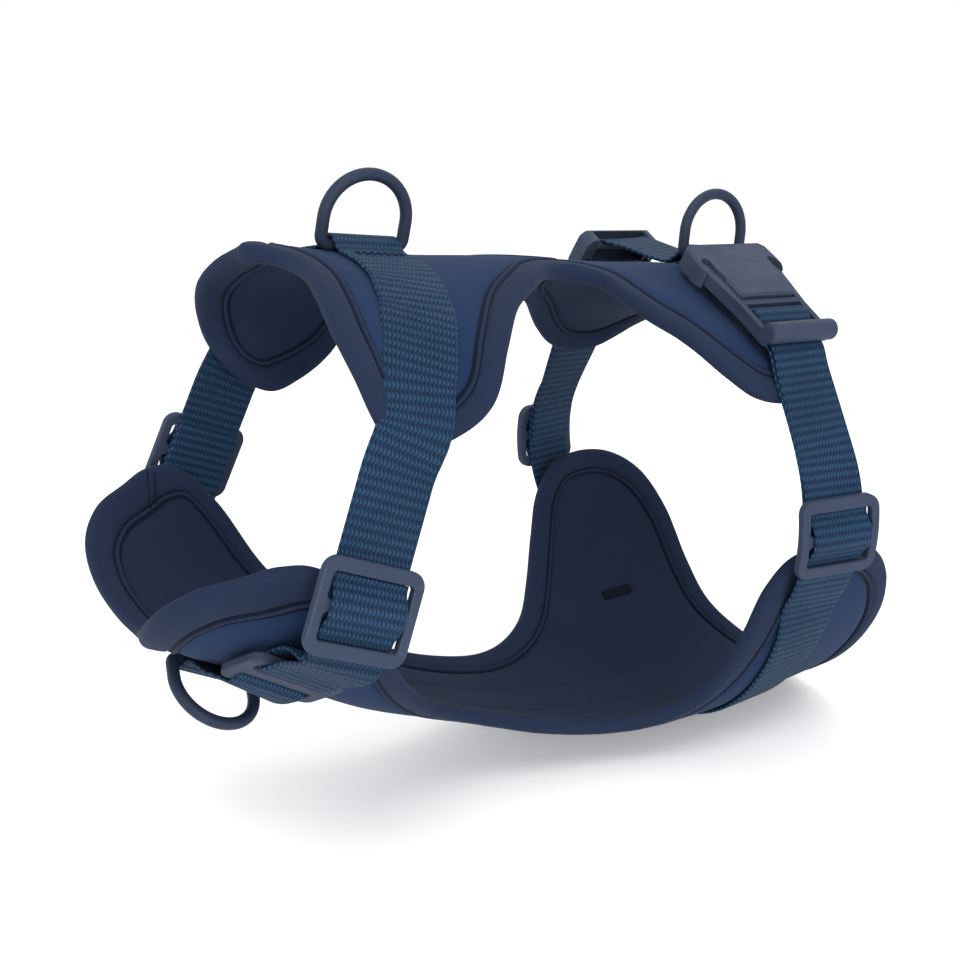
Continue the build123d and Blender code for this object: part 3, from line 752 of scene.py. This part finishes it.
def strap(name, path, body, nodes, thick=1.36, step=0.5):
    """Ribbed webbing along a path of (middle, outward) marks, with its weave's UVs."""
    p, way, out, marks = resampled(path, step)
    side = np.cross(way, out)
    section = strap_section(WEB_W, thick)
    rings, uvs = [], []
    for i in range(len(p)):
        end = min(i, len(p) - 1 - i)
        thin = 0.55 if end == 0 else 1.0
        rib = 0.07 * math.sin(2 * math.pi * marks[i] * MM / RIB_STEP)
        lift = section[:, 1] * thin + np.sign(section[:, 1]) * rib * (np.abs(section[:, 1]) > 0.6)
        rings.append(p[i] + side[i] * section[:, :1] + out[i] * lift[:, None])
        uvs.append(np.stack([np.full(len(section), marks[i] * MM), section[:, 0] * MM], 1))
    rings = uncrowded(np.array(rings), way, step)
    faces = tube_faces(len(p), len(section), False)
    return piece(name, np.vstack(rings), faces, WEBBING, body, nodes, np.vstack(uvs))


def left_of(path):
    return [(Vector((p.x, -p.y, p.z)), Vector((o.x, -o.y, o.z))) for p, o in path]


def flipped(path):
    """The same path on the left side, run the other way."""
    return left_of(path)[::-1]


def way_out(path):
    """The unit direction in which a path ends."""
    return unit(path[-1][0] - path[-2][0])


STACK = WEB_T + GAP                                 # one layer of webbing on another
ON_PAD = PAD_HALF + 2.5 * GAP + WEB_T / 2           # lift of webbing that lies on a panel
BAR_WRAP = RING_WIRE / 2 + GAP + WEB_T / 2          # webbing's middle round a ring's bar
FRONT_X, REAR_X, CHEST_X = -47.0, 109.0, -105.0     # the three D-rings' bars
FRONT_BAR = PAD_HALF + GAP + RING_WIRE / 2
REAR_BAR = FRONT_BAR + STACK + 0.6
FOLD_R = 1.6 + GAP + WEB_T / 2                      # webbing's middle round a moulding's bar
HUMP = [
    (-9.8, -0.75), (-7.4, -0.5), (-5.4, 0.7), (-3.5, 2.1), (-1.8, 2.6),
    (1.8, 2.6), (3.5, 2.1), (5.4, 0.7), (7.4, -0.5), (9.8, -0.75),
]                                                   # webbing over a slider's middle bar
SLIDER_T = 3.2
NECK_LIFT = WEB_T / 2 + GAP + SLIDER_T / 2          # a neck slider's middle above its webbing
NECK_SPOTS = {"left": 40.1, "right": 28.3}          # neck sliders, down from NECK_TOP
INNER_PAST = 12                                     # inner neck layer, past the slider's middle
PLUG_BAR = 36.8                                     # a plug's webbing bar, from the socket's
UP = Vector((0, 0, 1))


def over_bar(x, bar, foot, reach):
    """Marks of webbing that passes over a ring's bar at height bar, half of it."""
    top = bar + BAR_WRAP + 0.15
    marks = [(0, top), (2, top - 0.5), (4.5, top - 2.2), (7, max(foot, top - 3.9))]
    return [(x, w, lift) for w, lift in marks + [(9, foot), (reach, foot)]]


def across(half):
    """Both halves of a run of marks that starts on the middle line."""
    return [(x, -w, lift) for x, w, lift in reversed(half[1:])] + half


fold_route = across(over_bar(FRONT_X, FRONT_BAR, ON_PAD, 15))
strap("front_fold_strap", laid(back, fold_route, 2), "harness", ("front_ring_fold",))

NECK_TOP, NECK_LOW = Vector((-71.5, 67, 30.5)), Vector((-92.5, 73, -19))
NECK = Place(NECK_TOP, NECK_LOW - NECK_TOP, Vector((0, 1, 0.15)))
NECK_RUN = (NECK_LOW - NECK_TOP).length
middle, out = seat(chest, -97, 43, 6.2)
LOOP = Place(middle, on(chest, -98.3, 38) - on(chest, -95.7, 48), out)
neck_route = [
    (-47, 15.6, ON_PAD + 0.1), (-47.1, 19, ON_PAD + 0.3), (-48, 30, ON_PAD + 0.4),
    (-52, 45, ON_PAD + 0.8), (-58, 58, ON_PAD + 1.4), (-63, 68, ON_PAD + 2.2),
    (-66.2, 78, ON_PAD + 3.0),
]


def untwisted(path, first, last):
    """The same path with its outward directions turned evenly between two places."""
    a, b = path[first][1], path[last][1]
    count = last - first
    for k in range(first, last + 1):
        path[k] = (path[k][0], unit(a.lerp(b, smooth_step((k - first) / count).item())))
    return path


def neck_path(inner):
    """Right neck webbing: over the shoulder, down, round the chest loop and back up inside."""
    path = laid(back, neck_route, 7)
    on_panel = len(path)
    spot, face = path[-1]
    path += ease(spot, way_out(path), NECK_TOP, NECK.way, face, NECK.out, 4)
    path += [(NECK.at(NECK_RUN * k / 12, 0), NECK.out) for k in range(13)]
    path = untwisted(path, on_panel - 7, on_panel + 3)
    into, back_up = LOOP.at(-15, FOLD_R), LOOP.at(-15, -FOLD_R)
    path += ease(NECK_LOW, NECK.way, into, LOOP.way, NECK.out, LOOP.out, 7)
    path += [(into, LOOP.out)]
    path += swing(LOOP.at(-8.2, 0), FOLD_R, 90, -90, LOOP.way, LOOP.out)
    up_to = NECK.at(NECK_RUN, -STACK - 0.2)
    path += [(back_up, LOOP.out * -1)]
    path += ease(back_up, LOOP.way * -1, up_to, NECK.way * -1, LOOP.out * -1, NECK.out * -1, 7)
    up = [NECK.at(NECK_RUN - inner * k / 4, -STACK - 0.2) for k in range(5)]
    return path + [(p, NECK.out * -1) for p in up]


def chest_path():
    """Chest webbing from one chest loop over the chest ring's bar to the other."""
    half = over_bar(CHEST_X, FRONT_BAR, ON_PAD, 11) + [(-104.6, 17, 4.7), (-103.8, 24, 7.0)]
    path = laid(chest, half, 2)
    end = LOOP.at(15, FOLD_R)
    spot, face = path[-1]
    path += ease(spot, way_out(path), end, LOOP.way * -1, face, LOOP.out, 3)
    path += [(end, LOOP.out)] + swing(LOOP.at(8.2, 0), FOLD_R, 90, 270, LOOP.way, LOOP.out)
    path += [(LOOP.at(y, -FOLD_R), LOOP.out * -1) for y in (12, 16)]
    return flipped(path)[:-1] + path


GIRTH_TURN = math.radians(10)
GIRTH_OUT = Vector((-math.sin(GIRTH_TURN), math.cos(GIRTH_TURN), 0))
GIRTH_DOWN = GIRTH_OUT.cross(Vector((math.cos(GIRTH_TURN), math.sin(GIRTH_TURN), 0)))
GIRTH_X, ARC_Q, ARC_Z, ARC_R = 109.5, 36.1, -14.1, 51.75
ARC_MIDDLE = Vector((GIRTH_X, 0, ARC_Z)) + GIRTH_OUT * ARC_Q


def girth_path(buckle):
    """Right girth webbing: tail, plug bar, arc, and under the belly to the middle."""
    inner = ARC_R - STACK - 0.2
    path = [(ARC_MIDDLE + GIRTH_OUT * inner + UP * -2, GIRTH_OUT * -1)]
    path += swing(ARC_MIDDLE, inner, 3, 12, GIRTH_OUT, UP, -1, 6)
    tail = buckle.run([(50, -3.7), (46.5, -3.7), (43, -3.2), (39.5, -2.5)])
    spot, face = path[-1]
    stop = tail[0][0]
    path += ease(spot, way_out(path), stop, unit(stop - spot), face, buckle.out * -1, 6)
    path += [(p, o * -1) for p, o in tail]
    path += swing(buckle.at(PLUG_BAR, 0), FOLD_R - 0.1, 270, 90, buckle.way, buckle.out)
    top = buckle.run([(40.2, 2.1), (43, 0.6), (46.3, -1.7), (48.5, -2.0), (50.5, -1.9)])
    arc = swing(ARC_MIDDLE, ARC_R, 32, -34, GIRTH_OUT, UP, 1, 6)
    fall = arc[0][0] - top[-1][0]
    path += top
    path += [(top[-1][0] + fall * (k / 4), unit(top[-1][1] * (1 - k / 4) + arc[0][1] * (k / 4)))
             for k in (1, 2, 3)]
    path += arc
    under = [(97, 94, ON_PAD + 0.4), (97.5, 70, ON_PAD), (98, 40, ON_PAD), (98, 0.3, ON_PAD)]
    under = laid(chest, under, 7)
    spot, face = path[-1]
    stop, stop_face = under[0]
    path += ease(spot, way_out(path), stop, unit(under[1][0] - stop), face, stop_face, 4)
    return path + under


BUCKLE_ENDS = {
    "left": (Vector((99.5, 17.2, 77.8)), Vector((96.5, 60.2, 52.6))),
    "right": (Vector((99.5, 45, 78.5)), Vector((96.8, 70.3, 36))),
}
buckles = {}
for side, (a, b) in BUCKLE_ENDS.items():
    level = unit((b - a).cross(Vector((1, 0, 0))))
    buckles[side] = Place(a, b - a, level * (1 if level.y > 0 else -1))
SLIDER_R = ARC_R + WEB_T / 2 + GAP + SLIDER_T / 2


def neck_side(side, turned):
    """One side's neck webbing, and the webbing on its slider's middle bar."""
    spot = NECK_SPOTS[side]
    route = turned(neck_path(NECK_RUN - spot + INNER_PAST))
    strap(f"neck_strap_{side}", route, "harness", (f"neck_webbing_{side}",))
    hump = turned([(NECK.at(spot + y, NECK_LIFT + z), NECK.out) for y, z in HUMP])
    replaced = (f"neck_slider_webbing_{side}",)
    strap(f"neck_slider_strap_{side}", hump, f"neck_slider_{side}", replaced, 1.3)


def girth_side(side, turned):
    """One side's girth webbing and the webbing on its slider."""
    hump = []
    for y, z in HUMP:
        angle = y / SLIDER_R
        face = GIRTH_DOWN * math.sin(angle) + GIRTH_OUT * math.cos(angle)
        hump.append((ARC_MIDDLE + face * (SLIDER_R + z), face))
    replaced = (f"girth_slider_webbing_{side}",)
    strap(f"girth_slider_strap_{side}", turned(hump), f"girth_slider_{side}", replaced, 1.3)
    route = turned(girth_path(buckles[side]))
    band = strap(f"girth_strap_{side}", route, None, (f"girth_webbing_{side}",))
    still = (ARC_MIDDLE + GIRTH_OUT * ARC_R + UP * 23, GIRTH_OUT)
    pulled = (buckles[side].at(PLUG_BAR + 9, 0), GIRTH_OUT)
    (fixed, _), (drawn, _) = turned([still, pulled])
    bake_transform(band)


for side, turned in {"left": left_of, "right": list}.items():
    neck_side(side, turned)
    girth_side(side, turned)
strap("chest_strap", chest_path(), "harness", ("chest_webbing",))
base = laid(back, across([(REAR_X, 0, ON_PAD), (REAR_X, 13, ON_PAD)]), 3)
strap("rear_base_strap", base, "harness", ("rear_base_webbing",))


def top_path():
    """Webbing over the rear ring's bar, from the left buckle's bar to the right one's."""
    foot = ON_PAD + STACK
    left, right = buckles["left"], buckles["right"]
    top = over_bar(REAR_X, REAR_BAR, foot, 10)[:-3]
    top += [(108.6, 7, foot + 0.4), (107.6, 10, foot), (105.6, 13, foot)]
    near = laid(back, top, 2) + left.run([(1.5, -3.95)])
    near += swing(left.at(1.5, -1.3), 2.7, -75, 90, left.way, left.out)
    near += left.run([(-2, 1.4)])
    far = over_bar(REAR_X, REAR_BAR, foot, 10)
    far = laid(back, [(x - 0.2 * max(0, w - 4.5), w, lift) for x, w, lift in far], 2)
    for lifted in (Vector((106, 23, 74.2)), Vector((102, 36, 77.6))):
        far += [(lifted, unit(Vector((0, -0.1, 1))))]
    far += swing(right.at(1.5, -1.3), 2.8, 170, 20, right.way, right.out)
    return flipped(near)[:-1] + far


strap("rear_top_strap", top_path(), "harness", ("girth_top_webbing",))


# ---- sewn marks on the webbing ------------------------------------------------------------


def strap_stitches(name, path_marks, half=9.5, pitch=2.6, lift=0.85):
    """Rows of stitches across webbing at (middle, way, outward) marks."""
    rows = []
    for centre, way, out in path_marks:
        side = way.cross(out).normalized()
        count = int(half / pitch)
        for k in range(-count, count + 1):
            rows.append((centre + side * (k * pitch) + out * lift, side, out))
    stitches(name, rows, SEAM, 2.0, 0.3)


def rows_on(skin, x, ws, lift):
    marks = []
    for w in ws:
        spot, out = seat(skin, x, w, lift)
        ahead, _ = seat(skin, x, w + 1, lift)
        marks.append((spot, (ahead - spot).normalized(), out))
    return marks


strap_stitches("front_fold_stitches", rows_on(back, FRONT_X, (-13.5, -11.5, 11.5, 13.5), ON_PAD))
strap_stitches("chest_strap_stitches", rows_on(chest, CHEST_X, (-13, -11, 11, 13), ON_PAD))

# ---- size label ---------------------------------------------------------------------------
corners = []
for k in range(64):
    a = 2 * math.pi * k / 64
    across_x, across_w = (math.copysign(abs(v) ** 0.3, v) for v in (math.cos(a), math.sin(a)))
    corners.append((108.5 + 8.5 * across_x, 57 + 2.5 * across_w))
patch_net = filled(np.array(corners), 0.8)
flat_lift = np.full(len(patch_net[0]), -PAD_HALF - 0.62)
patch_top = flat_lift - 0.25 * smooth_step(patch_net[2] / 0.8)
slab("blank_size_patch", chest, patch_net, patch_top, flat_lift + 0.4, PATCH, "harness",
     ("size_label",))

# ---- carried-over mouldings and rings -----------------------------------------------------
for name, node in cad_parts.items():
    if node.hide_render:
        continue
    look = METAL if name.endswith("_ring") else PLASTIC
    node.data.materials.clear()
    node.data.materials.append(look)

# ---- floor --------------------------------------------------------------------------------
floor_level = cad_bounds[0][2] - 0.0005
floor_mesh = bpy.data.meshes.new("floor")
floor_mesh.from_pydata([(-9, -9, 0), (9, -9, 0), (9, 9, 0), (-9, 9, 0)], [], [(0, 1, 2, 3)])
floor = bpy.data.objects.new("floor", floor_mesh)
floor.location.z = floor_level
bpy.context.scene.collection.objects.link(floor)
pale = Nodes("pale_floor", 0.9, 0.1)
pale.colour(pale.mix(pale.noise(3.0), (0.97, 0.97, 0.97, 1), (0.98, 0.98, 0.98, 1)))
pale.shader.inputs["Emission Color"].default_value = (1, 1, 1, 1)
pale.shader.inputs["Emission Strength"].default_value = 0.12
floor_mesh.materials.append(pale.material)
